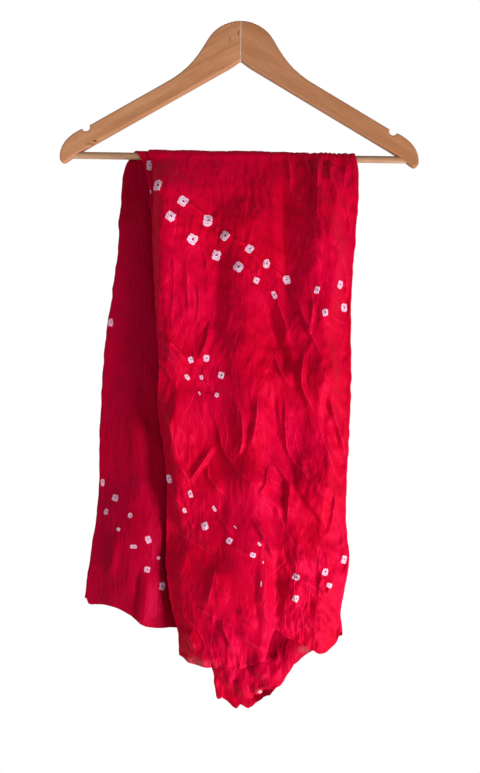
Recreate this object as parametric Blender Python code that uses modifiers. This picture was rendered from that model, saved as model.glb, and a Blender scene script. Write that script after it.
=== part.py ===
"""A tie-dyed cloth, folded in three lengthwise and draped over the bar of a wooden coat hanger.

Metres, +Z up. The origin is the top of the hanger's head, where its hook would stand. X runs along
the hanger, the cloth's longer end hangs in front (-Y) and its shorter end behind (+Y).
"""

import math

import bmesh
import bpy
import numpy as np

MM = 0.001
FIT_GAP = 0.3 * MM

# Hanger
HANGER_HALF_WIDTH = 221.5 * MM
ARM_THICKNESS = 13.0 * MM
ARM_EDGE_ROUND = 2.0 * MM
HEAD_RADIUS = 47.0 * MM
HEAD_ARC_END = math.radians(30.0)
UPPER_SLOPE = math.radians(-28.8)
ARM_START = (95.5 * MM, -79.3 * MM)
NOTCH_X = 189.5 * MM
NOTCH_RADIUS = 4.9 * MM
NOTCH_DEPTH = 8.0 * MM
SHOULDER_LENGTH = 5.0 * MM
TIP_RADIUS = 5.0 * MM
TIP_Z = -177.8 * MM
UNDERSIDE = ((204.0 * MM, -169.8 * MM), (198.0 * MM, -165.3 * MM), (12.0 * MM, -57.0 * MM))
UNDERSIDE_TOP = -48.5 * MM

# Bar
BAR_RADIUS = 4.4 * MM
BAR_Z = -168.0 * MM
BAR_HALF_LENGTH = 212.0 * MM

# Cloth: its three layers are outer, middle and inner, counted from the outside of the drape
SHEET_THICKNESS = 1.0 * MM
BAR_CLEARANCE = 2.4 * MM
LAYER_PITCH_ON_BAR = 1.6 * MM
SETTLING_DROP = 48.0 * MM
OUTER_LIFT = 6.0 * MM
OUTER_LIFT_WIDTH = 16.0 * MM
INNER_FOLDS_START, INNER_FOLDS_FADE = 30.0 * MM, 60.0 * MM
HANGING_DEPTH = {"inner": 8.5 * MM, "middle": 11.3 * MM, "outer": 14.8 * MM}
COLUMNS = {"outer": 22, "middle": 9, "inner": 12}
LEFT_CROWDING = {"outer": 0.0, "middle": 0.0, "inner": 0.35}
FOLD_STEPS = 4
FRONT_ROWS, BAR_ROWS, BACK_ROWS = 26, 6, 19
TOP_CROWDING = 0.4

# Where the edges of the layers run in front: all in millimetres, drop is how far below the bar
FRONT_COLUMNS = ("drop", "outer_selvedge", "right_fold", "left_fold")
FRONT_EDGES = (
    (0, -112.0, 143.5, -123.0),
    (10, -108.0, 145.4, -117.5),
    (22, -105.5, 145.8, -113.0),
    (60, -104.0, 144.8, -107.0),
    (140, -102.2, 139.6, -102.5),
    (200, -98.4, 137.6, -95.0),
    (260, -93.4, 139.0, -90.0),
    (315, -95.2, 138.7, -91.0),
    (360, -88.0, 137.4, -85.0),
    (400, -83.4, 136.0, -80.0),
    (450, -82.6, 136.0, -79.0),
    (500, -82.4, 140.3, -79.0),
    (530, -79.0, 135.5, -75.0),
    (560, -73.0, 131.8, -70.0),
    (582, -66.0, 132.8, -60.0),
    (603, -65.0, 133.0, -48.0),
    (616, -65.4, 133.0, -29.0),
    (630, -64.5, 132.5, -22.5),
    (655, -63.0, 132.0, -18.0),
    (680, -62.0, 131.0, -12.0),
)

# The same behind, where the left fold flares out past the front
BACK_COLUMNS = ("drop", "outer_selvedge", "right_fold", "left_fold")
BACK_EDGES = (
    (0, -112.0, 139.0, -133.7),
    (8, -112.0, 138.6, -138.5),
    (20, -111.5, 138.0, -141.5),
    (60, -110.0, 136.0, -145.5),
    (120, -108.0, 133.0, -147.2),
    (172, -106.0, 131.0, -153.9),
    (227, -104.0, 129.0, -161.5),
    (303, -101.0, 127.0, -165.9),
    (384, -97.0, 126.0, -166.6),
    (430, -95.0, 125.0, -165.6),
    (481, -92.0, 124.0, -173.4),
    (511, -90.0, 123.0, -176.6),
    (555, -87.0, 122.0, -182.8),
    (605, -84.0, 121.0, -187.0),
)
INNER_SELVEDGE_INSET = 9.0 * MM

# Drop of each layer's hem at a share of its width, from its left edge at 0 to its right edge at 1
HEM_COLUMNS = ("share", "drop")
FRONT_HEMS = {
    "outer": (
        (0.0, 611), (0.08, 619), (0.22, 622), (0.36, 623), (0.49, 612), (0.545, 604), (0.565, 588),
        (0.585, 578), (0.66, 584), (0.76, 592), (0.83, 600), (0.88, 604), (0.92, 602), (0.96, 594), (1.0, 585),
    ),
    "middle": (
        (0.0, 664), (0.04, 668), (0.07, 671), (0.13, 679), (0.17, 674), (0.22, 678), (0.28, 674), (0.34, 668),
        (0.38, 662), (0.43, 660), (0.48, 651), (0.53, 647), (0.58, 635), (0.65, 622), (0.72, 614), (0.85, 602),
        (1.0, 587),
    ),
    "inner": ((0.0, 668), (0.2, 655), (0.5, 612), (0.8, 585), (1.0, 578)),
}
BACK_HEMS = {
    "outer": ((0.0, 566), (0.3, 578), (0.6, 592), (1.0, 584)),
    "middle": ((0.0, 545), (0.12, 550), (0.2, 562), (0.28, 574), (0.5, 582), (0.8, 592), (1.0, 584)),
    "inner": (
        (0.0, 548), (0.012, 554), (0.04, 557), (0.08, 557.5), (0.12, 560), (0.16, 565), (0.2, 572),
        (0.235, 581), (0.26, 583), (0.3, 582), (0.38, 580), (0.47, 590), (0.64, 600), (0.88, 598), (1.0, 590),
    ),
}

# Main folds of the outer layer in front, each a soft ridge along a straight line. The columns, in
# millimetres, are x0, drop0, x1, drop1, how wide it is on its left and on its right, and its height
FRONT_FOLDS = (
    (-93, 0, -86, 290, 10, 46, 20.0),
    (-74, 330, -68, 420, 10, 40, 13.0),
    (6, 90, 13, 210, 28, 29, 13.0),
    (18, 240, 26, 390, 42, 40, 17.0),
    (106, 0, 104, 260, 48, 32, 21.0),
    (108, 290, 114, 400, 34, 26, 10.0),
    (-22, 400, -18, 450, 26, 12, 4.0),
    (-21, 500, -20, 590, 50, 8, 23.0),
    (30, 400, 33, 600, 36, 14, 13.0),
    (76, 430, 72, 590, 24, 56, 14.0),
)
# Folds of the middle layer's low end, where it hangs out below the outer hem
MIDDLE_FOLDS = (
    (-2, 628, 14, 668, 14, 14, 6.0),
    (34, 622, 46, 660, 16, 16, 8.0),
    (70, 605, 62, 640, 12, 12, 5.0),
)
# Folds of the part that hangs behind: of all its layers, and of the inner one towards the front
BACK_FOLDS = ((20, 150, 10, 590, 34, 34, 5.0), (84, 120, 92, 580, 30, 30, 4.0))
INNER_BACK_FOLDS = (
    (-113, 70, -103, 250, 36, 9, -15.0),
    (-120, 350, -121, 430, 26, 15, -10.0),
    (-110, 480, -105, 590, 18, 14, -18.0),
    (-140, 300, -146, 540, 18, 18, -3.0),
)
RIGHT_FADE = 24.0 * MM


def clear_scene():
    """Removes every object, so that only this model is in the file."""
    for obj in list(bpy.data.objects):
        bpy.data.objects.remove(obj, do_unlink=True)


def new_collection(name, hidden=False):
    """A collection under the scene, left out of renders when it only holds cutters."""
    group = bpy.data.collections.new(name)
    group.hide_render = hidden
    bpy.context.scene.collection.children.link(group)
    return group


def new_material(name, colour, roughness):
    """A plain Principled BSDF."""
    made = bpy.data.materials.new(name)
    made.use_nodes = True
    shader = made.node_tree.nodes["Principled BSDF"]
    shader.inputs["Base Color"].default_value = (*colour, 1.0)
    shader.inputs["Roughness"].default_value = roughness
    made.diffuse_color = (*colour, 1.0)
    return made


def arc(centre, radius, start, end, steps):
    """Points of a circle's arc from one angle to the other."""
    angles = np.linspace(start, end, steps + 1)
    return [(centre[0] + radius * math.cos(a), centre[1] + radius * math.sin(a)) for a in angles]


def bezier(p0, p1, p2, p3, steps):
    """Points of a cubic Bezier curve."""
    t = np.linspace(0.0, 1.0, steps + 1)[:, None]
    p0, p1, p2, p3 = (np.array(p) for p in (p0, p1, p2, p3))
    points = p0 * (1 - t) ** 3 + 3 * p1 * t * (1 - t) ** 2 + 3 * p2 * t**2 * (1 - t) + p3 * t**3
    return [tuple(point) for point in points]


def along(point, angle, length):
    """The point this far from another, at an angle."""
    return (point[0] + length * math.cos(angle), point[1] + length * math.sin(angle))


def arm_outline():
    """Outline of the right arm in X and Z: head, upper edge, strap notch, shoulder, tip, underside. It goes
    on past the joint, where the arm is cut off later."""
    head = arc((0.0, -HEAD_RADIUS), HEAD_RADIUS, math.radians(98.0), HEAD_ARC_END, 10)
    leaving = HEAD_ARC_END - math.radians(90.0)
    neck = bezier(
        head[-1],
        along(head[-1], leaving, 28.0 * MM),
        along(ARM_START, UPPER_SLOPE, -34.0 * MM),
        ARM_START,
        7,
    )
    slope = math.tan(UPPER_SLOPE)
    edge_z = ARM_START[1] + slope * (NOTCH_X - ARM_START[0])
    notch_centre = (NOTCH_X, edge_z - NOTCH_DEPTH + NOTCH_RADIUS)
    notch = arc(notch_centre, NOTCH_RADIUS, math.radians(150.0), math.radians(335.0), 7)
    shoulder_start = along(notch[-1], math.radians(35.0), 0.6 * MM)
    shoulder_end = (HANGER_HALF_WIDTH, TIP_Z + TIP_RADIUS + SHOULDER_LENGTH)
    shoulder = bezier(
        shoulder_start,
        along(shoulder_start, math.radians(-26.0), 14.0 * MM),
        (shoulder_end[0] - 1.5 * MM, shoulder_end[1] + 16.0 * MM),
        shoulder_end,
        8,
    )
    tip_centre = (HANGER_HALF_WIDTH - TIP_RADIUS, TIP_Z + TIP_RADIUS)
    tip = arc(tip_centre, TIP_RADIUS, 0.0, math.radians(-128.0), 5)
    underside = [*UNDERSIDE, (0.0, UNDERSIDE_TOP), (-HEAD_RADIUS * math.sin(math.radians(8.0)), UNDERSIDE_TOP)]
    return head + neck[1:] + notch + shoulder + tip + underside


def build_arm(name, side, group, finish, cutters):
    """One flat arm: its outline extruded with rounded edges, with a blind socket for the bar."""
    outline = [(side * x, z) for x, z in arm_outline()]
    curve = bpy.data.curves.new(name, "CURVE")
    curve.dimensions = "2D"
    curve.fill_mode = "BOTH"
    curve.extrude = ARM_THICKNESS / 2 - ARM_EDGE_ROUND
    curve.bevel_depth = ARM_EDGE_ROUND
    curve.bevel_resolution = 1
    curve.offset = -ARM_EDGE_ROUND
    spline = curve.splines.new("POLY")
    spline.points.add(len(outline) - 1)
    for point, (x, z) in zip(spline.points, outline):
        point.co = (x, z, 0.0, 1.0)
    spline.use_cyclic_u = True
    drawn = bpy.data.objects.new(name + "_outline", curve)
    drawn.rotation_euler = (math.radians(90.0), 0.0, 0.0)
    group.objects.link(drawn)
    bpy.context.view_layer.update()
    graph = bpy.context.evaluated_depsgraph_get()
    mesh = bpy.data.meshes.new_from_object(drawn.evaluated_get(graph))
    arm = bpy.data.objects.new(name, mesh)
    arm.matrix_world = drawn.matrix_world
    group.objects.link(arm)
    bpy.data.objects.remove(drawn, do_unlink=True)
    weld(mesh)
    cut_at_joint(mesh, side)
    mesh.materials.clear()
    mesh.materials.append(finish)
    mesh.shade_smooth()
    mesh.set_sharp_from_angle(angle=math.radians(35.0))

    cutter = round_bar(name + "_socket", BAR_RADIUS + FIT_GAP, BAR_HALF_LENGTH + FIT_GAP, cutters)
    cutter.hide_render = True
    cutter.display_type = "WIRE"
    socket = arm.modifiers.new("bar socket", "BOOLEAN")
    socket.operation = "DIFFERENCE"
    socket.object = cutter
    return arm


def weld(mesh):
    """Joins the caps of a mesh made from a curve to its sides, faces pointing out."""
    shape = bmesh.new()
    shape.from_mesh(mesh)
    bmesh.ops.remove_doubles(shape, verts=shape.verts, dist=0.01 * MM)
    bmesh.ops.recalc_face_normals(shape, faces=shape.faces)
    shape.to_mesh(mesh)
    shape.free()


def cut_at_joint(mesh, side):
    """Cuts an arm off square at the joint between the two, and closes it with a flat face."""
    shape = bmesh.new()
    shape.from_mesh(mesh)
    bmesh.ops.bisect_plane(
        shape,
        geom=[*shape.verts, *shape.edges, *shape.faces],
        plane_co=(side * FIT_GAP / 2, 0.0, 0.0),
        plane_no=(side, 0.0, 0.0),
        clear_inner=True,
    )
    rim = [edge for edge in shape.edges if edge.is_boundary]
    bmesh.ops.holes_fill(shape, edges=rim, sides=0)
    bmesh.ops.recalc_face_normals(shape, faces=shape.faces)
    shape.to_mesh(mesh)
    shape.free()


def round_bar(name, radius, half_length, group):
    """A dowel along X through the bar's place."""
    mesh = bpy.data.meshes.new(name)
    shape = bmesh.new()
    bmesh.ops.create_cone(
        shape,
        cap_ends=True,
        segments=24,
        radius1=radius,
        radius2=radius,
        depth=2 * half_length,
    )
    shape.to_mesh(mesh)
    shape.free()
    dowel = bpy.data.objects.new(name, mesh)
    dowel.location = (0.0, 0.0, BAR_Z)
    dowel.rotation_euler = (0.0, math.radians(90.0), 0.0)
    group.objects.link(dowel)
    return dowel


def build_bar(group, finish):
    """The round trouser bar, its ends in the arms' sockets."""
    bar = round_bar("trouser_bar", BAR_RADIUS, BAR_HALF_LENGTH, group)
    bar.data.materials.append(finish)
    bar.data.shade_smooth()
    bar.data.set_sharp_from_angle(angle=math.radians(35.0))
    return bar


def smoothstep(value):
    """0 below 0, 1 above 1, and an even S between."""
    value = np.clip(value, 0.0, 1.0)
    return value * value * (3.0 - 2.0 * value)


def read(table, columns, name, at):
    """A table's column at a place in its first column, with smooth cubic joins between the rows."""
    rows = np.array(table, float)
    x, y = rows[:, 0], rows[:, columns.index(name)]
    slope = np.gradient(y, x)
    at = np.clip(at, x[0], x[-1])
    i = np.clip(np.searchsorted(x, at, side="right") - 1, 0, len(x) - 2)
    width = x[i + 1] - x[i]
    t = (at - x[i]) / width
    start = (1 + 2 * t) * (1 - t) ** 2 * y[i] + t * (1 - t) ** 2 * width * slope[i]
    end = t * t * (3 - 2 * t) * y[i + 1] + t * t * (t - 1) * width * slope[i + 1]
    return start + end


def ridges(x, drop, folds):
    """Sum of soft ridges: each is its height times a bell curve of the distance to its line, which has a
    width of its own on each side."""
    total = np.zeros(np.broadcast(x, drop).shape)
    for x0, drop0, x1, drop1, left, right, height in folds:
        ax, az, bx, bz = (value * MM for value in (x0, drop0, x1, drop1))
        length2 = (bx - ax) ** 2 + (bz - az) ** 2
        t = np.clip(((x - ax) * (bx - ax) + (drop - az) * (bz - az)) / length2, 0.0, 1.0)
        distance2 = (x - ax - t * (bx - ax)) ** 2 + (drop - az - t * (bz - az)) ** 2
        beyond = ((x - ax) * (bz - az) - (drop - az) * (bx - ax)) / math.hypot(bx - ax, bz - az)
        width = left + (right - left) * smoothstep(0.5 + beyond / (12.0 * MM))
        total += height * MM * np.exp(-distance2 / (width * MM) ** 2)
    return total


def bar_radius_of(layer):
    """Radius of a layer's mid surface where it goes over the bar."""
    inner = BAR_RADIUS + BAR_CLEARANCE + SHEET_THICKNESS / 2
    return inner + LAYER_PITCH_ON_BAR * ("inner", "middle", "outer").index(layer)


def front_depth(layer, x, drop, left_edge, right_fold):
    """How far a layer hangs in front of the bar's middle: its settled depth plus its folds."""
    sway = 2.5 * MM * np.sin(x / (27.0 * MM) + drop / (160.0 * MM)) * smoothstep(drop / 0.25)
    hanging = HANGING_DEPTH[layer] + sway
    fade = smoothstep((right_fold - x) / RIGHT_FADE)
    low = ridges(x, drop, MIDDLE_FOLDS) * fade
    if layer == "middle":
        hanging = hanging + low
    if layer == "outer":
        lift = OUTER_LIFT * smoothstep((x - left_edge) / OUTER_LIFT_WIDTH)
        hanging = hanging + low + (ridges(x, drop, FRONT_FOLDS) + lift) * fade
    settled = smoothstep(drop / SETTLING_DROP)
    return bar_radius_of(layer) * (1 - settled) + hanging * settled


def back_depth(layer, x, drop):
    """How far a layer hangs behind the bar's middle."""
    sway = 2.5 * MM * np.sin(x / (30.0 * MM) - drop / (200.0 * MM)) * smoothstep(drop / 0.25)
    hanging = HANGING_DEPTH[layer] + sway + ridges(x, drop, BACK_FOLDS)
    if layer == "inner":
        begun = smoothstep((drop - INNER_FOLDS_START) / INNER_FOLDS_FADE)
        hanging = hanging + ridges(x, drop, INNER_BACK_FOLDS) * begun
    settled = smoothstep(drop / SETTLING_DROP)
    return bar_radius_of(layer) * (1 - settled) + hanging * settled


def edges_of(layer, table, drop):
    """The X of a layer's left and right edge at a drop below the bar."""
    at = drop / MM
    columns = FRONT_COLUMNS if table is FRONT_EDGES else BACK_COLUMNS
    right = read(table, columns, "right_fold", at) * MM
    left = read(table, columns, "left_fold", at) * MM
    if layer == "outer":
        left = read(table, columns, "outer_selvedge", at) * MM
    if layer == "inner":
        right = right - INNER_SELVEDGE_INSET
    return left, right


def hem_drop(layer, table, share):
    """Drop of a layer's hem at a share of its width."""
    return read(table[layer], HEM_COLUMNS, "drop", share) * MM


def hanging_rows(layer, share, reach, edges, hems, depth_side):
    """Points of a layer on one side: X across its width, Y by its depth, Z by its drop."""
    drop = reach[:, None] * hem_drop(layer, hems, share)[None, :]
    left, right = edges_of(layer, edges, drop)
    x = left + share[None, :] * (right - left)
    if depth_side < 0:
        y = -front_depth(layer, x, drop, left, right)
    else:
        y = back_depth(layer, x, drop)
    return np.stack([x, y, BAR_Z - drop], axis=-1)


def bar_rows(layer, share):
    """Points of a layer over the bar: half a turn from front to back, its edges moving along it."""
    turn = np.linspace(0.0, math.pi, BAR_ROWS + 1)[1:-1, None]
    gone = turn / math.pi
    front_left, front_right = edges_of(layer, FRONT_EDGES, 0.0)
    back_left, back_right = edges_of(layer, BACK_EDGES, 0.0)
    left = front_left + gone * (back_left - front_left)
    right = front_right + gone * (back_right - front_right)
    x = left + share[None, :] * (right - left)
    radius = bar_radius_of(layer)
    y = -radius * np.cos(turn) * np.ones_like(x)
    z = BAR_Z + radius * np.sin(turn) * np.ones_like(x)
    return np.stack([x, y, z], axis=-1)


def crowded(count, crowding):
    """Steps from 0 to 1 that start closer together: a line mixed with its own square."""
    even = np.linspace(0.0, 1.0, count)
    return even * (1 - crowding + crowding * even)


def layer_grid(layer):
    """A layer's points from its front hem, over the bar, to its back hem."""
    share = crowded(COLUMNS[layer], LEFT_CROWDING[layer])
    front_reach = crowded(FRONT_ROWS, TOP_CROWDING)[::-1]
    back_reach = crowded(BACK_ROWS, TOP_CROWDING)
    front = hanging_rows(layer, share, front_reach, FRONT_EDGES, FRONT_HEMS, -1)
    back = hanging_rows(layer, share, back_reach, BACK_EDGES, BACK_HEMS, 1)
    return np.concatenate([front, bar_rows(layer, share), back], axis=0)


def turned_edge(first, second, outward):
    """Columns of a fold between two layers' edges: half circles on the gap between them."""
    middle = (first + second) / 2
    half = (first - second) / 2
    radius = np.linalg.norm(half, axis=-1, keepdims=True)
    angles = np.linspace(0.0, math.pi, FOLD_STEPS + 1)[1:-1]
    sideways = np.array([outward, 0.0, 0.0])
    return np.stack([middle + half * math.cos(a) + sideways * radius * math.sin(a) for a in angles], 1)


def cloth_grid():
    """The whole sheet: outer layer, right fold, middle layer, left fold, inner layer."""
    outer = layer_grid("outer")
    middle = layer_grid("middle")[:, ::-1]
    inner = layer_grid("inner")
    right_fold = turned_edge(outer[:, -1], middle[:, 0], 1.0)
    left_fold = turned_edge(middle[:, -1], inner[:, 0], -1.0)
    return np.concatenate([outer, right_fold, middle, left_fold, inner], axis=1)


def build_cloth(group, finish):
    """The draped sheet as one open surface with Solidify for its thickness."""
    grid = cloth_grid()
    rows, columns = grid.shape[:2]
    index = np.arange(rows * columns).reshape(rows, columns)
    corners = (index[:-1, :-1], index[:-1, 1:], index[1:, 1:], index[1:, :-1])
    quads = np.stack(corners, axis=-1).reshape(-1, 4)
    mesh = bpy.data.meshes.new("cloth")
    mesh.from_pydata(grid.reshape(-1, 3).tolist(), [], quads.tolist())
    mesh.materials.append(finish)
    mesh.shade_smooth()
    cloth = bpy.data.objects.new("cloth", mesh)
    group.objects.link(cloth)
    thickness = cloth.modifiers.new("thickness", "SOLIDIFY")
    thickness.thickness = SHEET_THICKNESS
    thickness.offset = 0.0
    return cloth


def main():
    clear_scene()
    group = new_collection("bandhani cloth on wooden hanger")
    cutters = new_collection("cutters", hidden=True)
    wood = new_material("hanger wood", (0.42, 0.20, 0.10), 0.45)
    dowel_wood = new_material("bar wood", (0.45, 0.24, 0.13), 0.5)
    crimson = new_material("crimson cloth", (0.62, 0.01, 0.04), 0.6)
    build_arm("hanger_arm_left", -1, group, wood, cutters)
    build_arm("hanger_arm_right", 1, group, wood, cutters)
    build_bar(group, dowel_wood)
    build_cloth(group, crimson)


main()
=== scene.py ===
"""Looks of a tie-dyed cloth, folded in three lengthwise and draped over the bar of a wooden hanger.

The cloth's own sizes are in millimetres: x runs along the hanger to the viewer's right, and drop is how
far below the bar's middle a point hangs. The frame and all finished meshes are in metres.
"""

import math

import bpy
import numpy as np
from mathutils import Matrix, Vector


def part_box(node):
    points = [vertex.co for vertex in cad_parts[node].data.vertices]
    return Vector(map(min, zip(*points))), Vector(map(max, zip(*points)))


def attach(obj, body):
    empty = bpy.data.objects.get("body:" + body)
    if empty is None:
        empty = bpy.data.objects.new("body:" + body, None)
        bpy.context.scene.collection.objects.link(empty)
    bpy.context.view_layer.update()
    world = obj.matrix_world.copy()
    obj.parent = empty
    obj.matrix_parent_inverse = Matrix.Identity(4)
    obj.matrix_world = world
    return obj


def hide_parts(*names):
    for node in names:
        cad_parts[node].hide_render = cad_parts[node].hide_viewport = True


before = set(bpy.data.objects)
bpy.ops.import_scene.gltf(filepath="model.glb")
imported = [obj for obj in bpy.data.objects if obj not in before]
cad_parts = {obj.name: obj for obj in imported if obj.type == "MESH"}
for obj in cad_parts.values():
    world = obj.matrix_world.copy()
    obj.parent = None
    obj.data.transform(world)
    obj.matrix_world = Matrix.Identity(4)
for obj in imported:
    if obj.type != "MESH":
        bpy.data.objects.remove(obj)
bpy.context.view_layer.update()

MM = 0.001
LAYERS = ("inner", "middle", "outer")

# The bar, read from the frame
bar_low, bar_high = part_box("trouser_bar")
BAR_Z = (bar_low.z + bar_high.z) / 2 / MM
BAR_RADIUS = (bar_high.z - bar_low.z) / 2 / MM

# How far each layer hangs from the bar's middle
HANGING_DEPTH = {"inner": 8.5, "middle": 11.3, "outer": 14.8}
# The innermost layer's gap to the bar, and the step from layer to layer over it, at its left and right
SHEET_ON_BAR = 0.5
LOOSE_PITCH, TIGHT_PITCH = 1.5, 0.35
# Drops at which a layer hangs free of the bar's curve, and at which the gathers under the bar end
SETTLING_DROP = 44.0
PLEAT_DROP = 42.0
# Height of the slow wave in every layer, and how far the outer one lifts off the others in front
SWAY = 2.5
OUTER_LIFT = 6.0
# Least gap between two layers, and how softly a layer rounds off where it meets that gap
LEAST_LAYER_GAP = 0.8
GAP_ROUNDING = 1.5
# How far the back's left part comes forward just past the front's left fold, and how much more low down
FLAP, LOW_FLAP = 15.0, 6.0
# How much wider and higher each crease is than its row in the tables says
CREASE_SCALE = 1.7
# The crinkles' height: the middle layer in front, and the two visible ones behind
MIDDLE_CRINKLES, INNER_BACK_CRINKLES, OUTER_BACK_CRINKLES = 1.7, 0.5, 0.8
# Crinkles: each set of facets is so wide and so long, so high, and leans so far to the right for each
# millimetre down, and each set of ridges is so wide, so long and so high
FACET_SIZES = ((26, 40, 3.0, 0.35), (13, 20, 2.0, -0.45), (7, 11, 1.1, 0.2))
RIDGE_SIZES = ((17, 44, 1.6), (6, 15, 1.2))

# The sheet's grid: its rows, its columns in each layer, and how much closer they are at the start
FRONT_ROWS, BAR_ROWS, BACK_ROWS = 304, 14, 110
FRONT_ROW_CROWDING, BACK_ROW_CROWDING = 0.12, 0.25
COLUMNS = {"outer": 142, "middle": 40, "inner": 40}
CROWDING = {"outer": 0.0, "middle": 0.55, "inner": 0.5}
FOLD_COLUMNS = 5
INNER_SELVEDGE_INSET = 9.0

# Where each random pattern starts
SEEDS = {
    "fold_fade": 7, "on_bar": 61, "front_edges": 71, "back_edges": 81, "hems": 91,
    "middle_crinkles": 21, "outer_crinkles": 31, "inner_back_crinkles": 41, "outer_back_crinkles": 51,
    "lines": 17, "back_dots": 5,
}

# Where the layers' edges run in front and behind. The columns are drop, the outer layer's selvedge,
# the right fold and the left fold
EDGE_COLUMNS = ("drop", "outer_selvedge", "right_fold", "left_fold")
FRONT_EDGES = (
    (0, -112.0, 143.5, -123.0),
    (10, -108.0, 145.4, -117.5),
    (22, -105.5, 145.8, -113.0),
    (60, -104.0, 144.8, -107.0),
    (140, -102.2, 139.6, -102.5),
    (200, -98.4, 137.6, -95.0),
    (260, -93.4, 139.0, -90.0),
    (315, -95.2, 138.0, -91.0),
    (360, -88.0, 136.5, -85.0),
    (400, -83.4, 135.0, -80.0),
    (450, -82.6, 134.8, -79.0),
    (500, -82.4, 138.6, -79.0),
    (530, -79.0, 133.0, -75.0),
    (560, -73.0, 129.2, -70.0),
    (582, -66.0, 131.5, -60.0),
    (603, -65.0, 131.0, -48.0),
    (616, -65.4, 133.0, -29.0),
    (630, -64.5, 132.5, -22.5),
    (655, -63.0, 132.0, -18.0),
    (680, -62.0, 131.0, -12.0),
)
BACK_EDGES = (
    (0, -112.0, 139.0, -133.7),
    (8, -112.0, 138.6, -138.5),
    (20, -111.5, 138.0, -141.5),
    (60, -110.0, 136.0, -145.5),
    (120, -108.0, 133.0, -147.2),
    (172, -106.0, 131.0, -153.9),
    (227, -104.0, 129.0, -161.5),
    (303, -101.0, 127.0, -165.9),
    (384, -97.0, 126.0, -166.6),
    (430, -95.0, 125.0, -165.6),
    (481, -92.0, 124.0, -173.4),
    (511, -90.0, 123.0, -176.6),
    (555, -87.0, 122.0, -182.8),
    (605, -84.0, 121.0, -187.0),
)

# Drop of each layer's hem at a share of its width, from its left edge at 0 to its right edge at 1
HEM_COLUMNS = ("share", "drop")
FRONT_HEMS = {
    "outer": (
        (0.0, 611), (0.08, 619), (0.22, 622), (0.36, 623), (0.49, 612), (0.545, 604), (0.565, 588),
        (0.585, 578), (0.66, 584), (0.76, 592), (0.83, 600), (0.88, 604), (0.92, 603), (0.96, 598),
        (0.985, 592), (1.0, 582),
    ),
    "middle": (
        (0.0, 664), (0.04, 668), (0.07, 671), (0.13, 679), (0.17, 674), (0.22, 678), (0.28, 674),
        (0.34, 668), (0.38, 662), (0.43, 660), (0.48, 651), (0.53, 647), (0.58, 635), (0.65, 622),
        (0.72, 614), (0.85, 602), (1.0, 587),
    ),
    "inner": ((0.0, 668), (0.2, 655), (0.5, 612), (0.8, 585), (1.0, 578)),
}
BACK_HEMS = {
    "outer": ((0.0, 566), (0.3, 578), (0.6, 592), (1.0, 584)),
    "middle": ((0.0, 545), (0.12, 550), (0.2, 562), (0.28, 574), (0.5, 582), (0.8, 592), (1.0, 584)),
    "inner": (
        (0.0, 548), (0.012, 554), (0.04, 556), (0.08, 555), (0.12, 555.5), (0.16, 560), (0.2, 566),
        (0.235, 574), (0.26, 578), (0.3, 581), (0.38, 580), (0.47, 590), (0.64, 600), (0.88, 598),
        (1.0, 590),
    ),
}

# Main folds, each a soft ridge along a straight line. The columns are x0, drop0, x1, drop1, how wide it
# is on its left and on its right, and its height
FRONT_FOLDS = (
    (-95, 0, -91, 290, 11, 44, 19.0),
    (-75, 330, -69, 420, 10, 40, 13.0),
    (6, 90, 10, 192, 26, 29, 12.0),
    (11, 245, 17, 390, 32, 38, 16.0),
    (106, 0, 104, 260, 52, 32, 22.0),
    (108, 290, 114, 400, 34, 26, 10.0),
    (-22, 400, -18, 450, 26, 12, 4.0),
    (-12, 500, -14, 590, 52, 70, 23.0),
    (30, 400, 33, 600, 36, 14, 13.0),
    (76, 430, 72, 590, 24, 56, 14.0),
)
MIDDLE_FOLDS = (
    (-2, 628, 14, 668, 14, 14, 6.0),
    (34, 622, 46, 660, 16, 16, 8.0),
    (70, 605, 62, 640, 12, 12, 5.0),
)
BACK_FOLDS = ((20, 150, 10, 590, 34, 34, 5.0), (84, 120, 92, 580, 30, 30, 4.0))
INNER_BACK_FOLDS = (
    (-122, 340, -121, 400, 26, 15, -5.0),
    (-122, 430, -116, 590, 30, 26, -8.0),
    (-140, 300, -146, 540, 18, 18, -3.0),
)

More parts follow.
